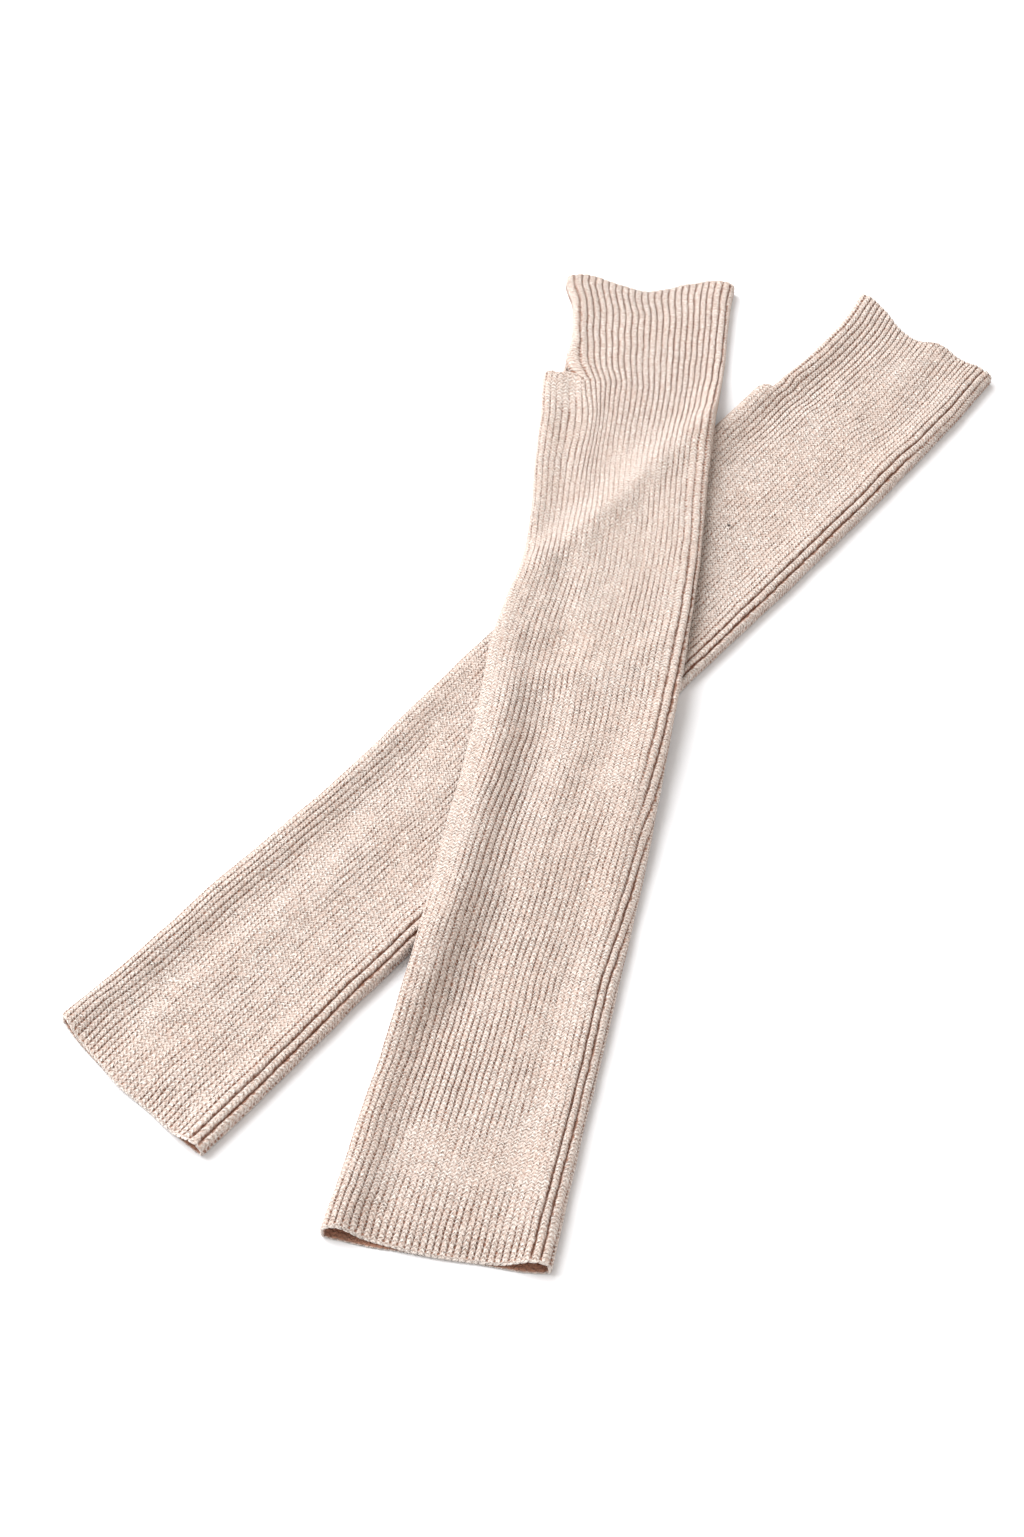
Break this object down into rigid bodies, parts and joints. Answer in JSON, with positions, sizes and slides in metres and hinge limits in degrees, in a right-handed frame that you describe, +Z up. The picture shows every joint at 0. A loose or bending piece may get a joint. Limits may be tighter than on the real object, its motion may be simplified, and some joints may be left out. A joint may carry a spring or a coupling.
{
  "type": "pair of arm warmers",
  "caption": "Rib-knit fingerless arm warmers with thumb openings, laid flat and crossed one over the other.",
  "frame": {"origin": "middle of the pair's bounding box, on the surface that it lies on", "axes": "+Z up from the surface, +Y along the over warmer's general run from its arm hem to its hand hem, +X to the right seen from above"},
  "size_m": [0.3344, 0.4534, 0.0119],
  "materials": {
    "front_knit": "soft oatmeal rib knit, slightly heathered and matt",
    "back_knit": "soft oatmeal rib knit, slightly heathered and matt"
  },
  "bodies": {
    "root": {"over_front": "front_knit", "over_back": "back_knit", "under_front": "front_knit", "under_back": "back_knit"}
  },
  "joints": []
}
